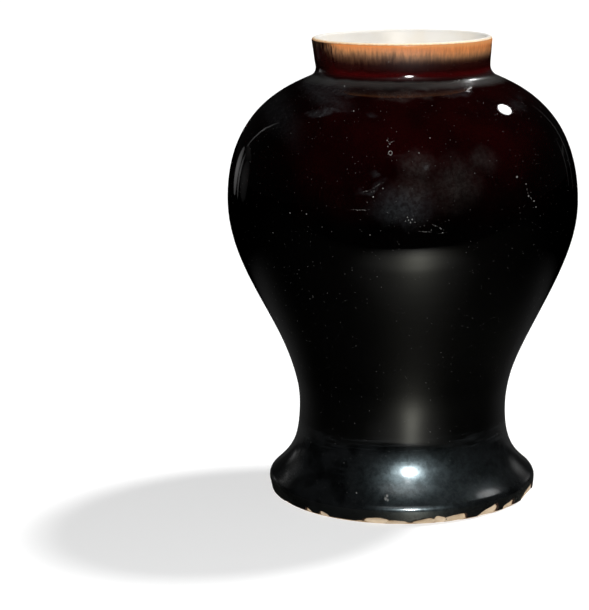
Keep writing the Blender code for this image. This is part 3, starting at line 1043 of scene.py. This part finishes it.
def make_floor():
    shape = bmesh.new()
    bmesh.ops.create_grid(shape, x_segments=1, y_segments=1, size=floor_reach)
    mesh = bpy.data.meshes.new("floor")
    shape.to_mesh(mesh)
    shape.free()
    made, tree, shader = new_material("floor")
    tree.nodes.remove(shader)
    light = put(tree, "LightPath", {}).outputs
    where = put(tree, "TexCoord", {}).outputs["Object"]
    glow = put(tree, "Emission", {"Color": (1, 1, 1, 1), "Strength": floor_glow}).outputs[0]
    matt = put(tree, "BsdfDiffuse", {"Color": floor_paint}).outputs[0]
    seen = put(tree, "AddShader", {0: glow, 1: matt}).outputs[0]
    plain = put(tree, "BsdfDiffuse", {"Color": bounce_paint}).outputs[0]
    mirrored = floor_mirrored(tree, where)
    other = put(tree, "MixShader", {0: light["Is Glossy Ray"], 1: plain, 2: mirrored}).outputs[0]
    straight = reckon(tree, "MAXIMUM", light["Is Camera Ray"], light["Is Transmission Ray"])
    both = put(tree, "MixShader", {0: straight, 1: other, 2: seen}).outputs[0]
    tree.links.new(both, tree.nodes["Material Output"].inputs["Surface"])
    mesh.materials.append(made)
    floor = bpy.data.objects.new("floor", mesh)
    bpy.context.scene.collection.objects.link(floor)


make_floor()


# The light
# One high lamp behind the right shoulder casts the shadow, and softer light comes from the front. The
# smaller lamps and the pale cards stand where the glaze mirrors them, and light nothing else.

def toward(azimuth, elevation):
    """A direction in degrees: azimuth 0 is towards the camera, 90 is to the right."""
    azimuth, elevation = math.radians(azimuth), math.radians(elevation)
    flat = math.cos(elevation)
    return Vector((math.sin(azimuth) * flat, -math.cos(azimuth) * flat, math.sin(elevation)))


def lamp(name, place, target, size, energy, turn=0.0, shape="ELLIPSE"):
    """A soft box of a width and height in metres, which faces a target."""
    data = bpy.data.lights.new(name, "AREA")
    data.shape = shape
    data.size, data.size_y = size
    data.energy = energy
    made = bpy.data.objects.new(name, data)
    made.location = place
    away = (Vector(place) - Vector(target)).to_track_quat("Z", "Y")
    made.rotation_euler = (away.to_matrix() @ Matrix.Rotation(math.radians(turn), 3, "Z")).to_euler()
    made.visible_camera = False
    bpy.context.scene.collection.objects.link(made)
    return made


def glint(name, seen_from, azimuth, elevation, distance, size, glow, turn=0.0, shape="ELLIPSE", fan=9):
    """A lamp or a pale card that only shows as a reflection in the glaze round one place.

    Glow 1 is white. The fan is how many degrees its light spreads, so the rest of the pot stays dark.
    """
    seen_from = Vector(seen_from)
    half_fan = math.radians(fan / 2)
    energy = glow * math.pi * size[0] * size[1] * (1 - half_fan / math.tan(half_fan))
    place = seen_from + toward(azimuth, elevation) * distance
    made = lamp(name, place, seen_from, size, energy, turn, shape)
    made.visible_diffuse = False
    made.data.spread = math.radians(fan)
    return made


def sun(name, azimuth, elevation, energy, angle):
    """A far lamp that the glaze doesn't mirror: a wider angle makes a softer shadow."""
    data = bpy.data.lights.new(name, "SUN")
    data.energy = energy
    data.angle = math.radians(angle)
    made = bpy.data.objects.new(name, data)
    made.rotation_euler = toward(azimuth, elevation).to_track_quat("Z", "Y").to_euler()
    made.visible_glossy = False
    bpy.context.scene.collection.objects.link(made)
    return made


sun("key", 125.6, 54.4, 3.2, 12)
sun("fill", -66, 35, 1.07, 7).data.use_shadow = False
lamp("front", (0.18, -1.37, 0.76), (0, 0, 0.20), (0.25, 0.36), 13.0).data.use_shadow = False

# The bright spots: on the foot, its right side, the shoulder and the root of the neck
glint("above_front", (0.010, -0.106, 0.026), 7, 46, 1.4, (0.09, 0.28), 6.0, fan=14)
glint("high_front", (0.010, -0.106, 0.022), 4, 60, 0.4, (0.36, 0.16), 1.0, fan=40)
glint("right_of_foot", (0.066, -0.078, 0.015), 112, 46.5, 0.4, (0.14, 0.032), 2.4, -45, fan=34)
glint("high_right", (0.074, -0.074, 0.310), 136.3, 41.2, 1.4, (0.28, 0.16), 26, -24, fan=34)
glint("past_the_neck", (0.050, -0.066, 0.324), 159.6, 44.0, 1.4, (0.045, 0.030), 12, 20)

# The long soft streaks on both sides of the body
glint("left_card", (-0.123, -0.050, 0.260), -142.5, 0, 1.6, (0.22, 0.42), 0.42, fan=22)
glint("left_gap_card", (-0.120, -0.055, 0.260), -136, 0, 1.6, (0.08, 0.44), 0.32, fan=20)
glint("left_inner_card", (-0.117, -0.062, 0.260), -127, 0, 1.6, (0.34, 0.42), 0.07, fan=20)
glint("left_strip", (-0.100, -0.065, 0.292), -135, 20, 1.6, (0.024, 0.70), 0.8, -19, "RECTANGLE", 28)
glint("right_strip", (0.122, -0.038, 0.285), 151, 6, 1.6, (0.022, 0.80), 0.20, -17, "RECTANGLE", 32)
glint("far_right_strip", (0.123, -0.050, 0.270), 140, 3, 1.6, (0.020, 0.45), 0.14, -10, "RECTANGLE", 20)

# The faint paleness on both sides of the foot
glint("left_low_card", (-0.088, -0.040, 0.025), -132, 18, 0.8, (0.50, 0.30), 0.09, fan=26)
glint("right_low_card", (0.093, -0.034, 0.020), 143, 12, 0.9, (0.50, 0.30), 0.30, fan=18)


# How bright the studio is: as light on the vase, and as the glaze mirrors it
room_light = 0.06
mirrored_room = 0.006


def make_world():
    """White to the camera, but nearly black in the glaze, which mirrors an unlit studio."""
    world = bpy.data.worlds.new("studio")
    bpy.context.scene.world = world
    world.use_nodes = True
    tree = world.node_tree
    light = put(tree, "LightPath", {}).outputs
    straight = reckon(tree, "MAXIMUM", light["Is Camera Ray"], light["Is Transmission Ray"])
    dim = reckon(tree, "MULTIPLY_ADD", light["Is Glossy Ray"], mirrored_room - room_light, room_light)
    background = tree.nodes["Background"].inputs
    background["Color"].default_value = (1, 1, 1, 1)
    tree.links.new(reckon(tree, "MAXIMUM", straight, dim), background["Strength"])


make_world()


# The camera
# It stands a metre and a half in front of the vase, above the height of its lip, and looks slightly
# down. A shift puts the vase to the right of the middle of the picture.

camera_data = bpy.data.cameras.new("camera")
camera_data.sensor_fit = "VERTICAL"
camera_data.sensor_height = 36
camera_data.lens = 116.34
camera_data.shift_x = -0.177
camera_data.clip_end = 60
camera = bpy.data.objects.new("camera", camera_data)
camera.location = (0, -1.529, 0.4826)
camera.rotation_euler = (math.radians(77.64), 0, 0)
bpy.context.scene.collection.objects.link(camera)
bpy.context.scene.camera = camera
bpy.context.scene.view_settings.view_transform = "Standard"
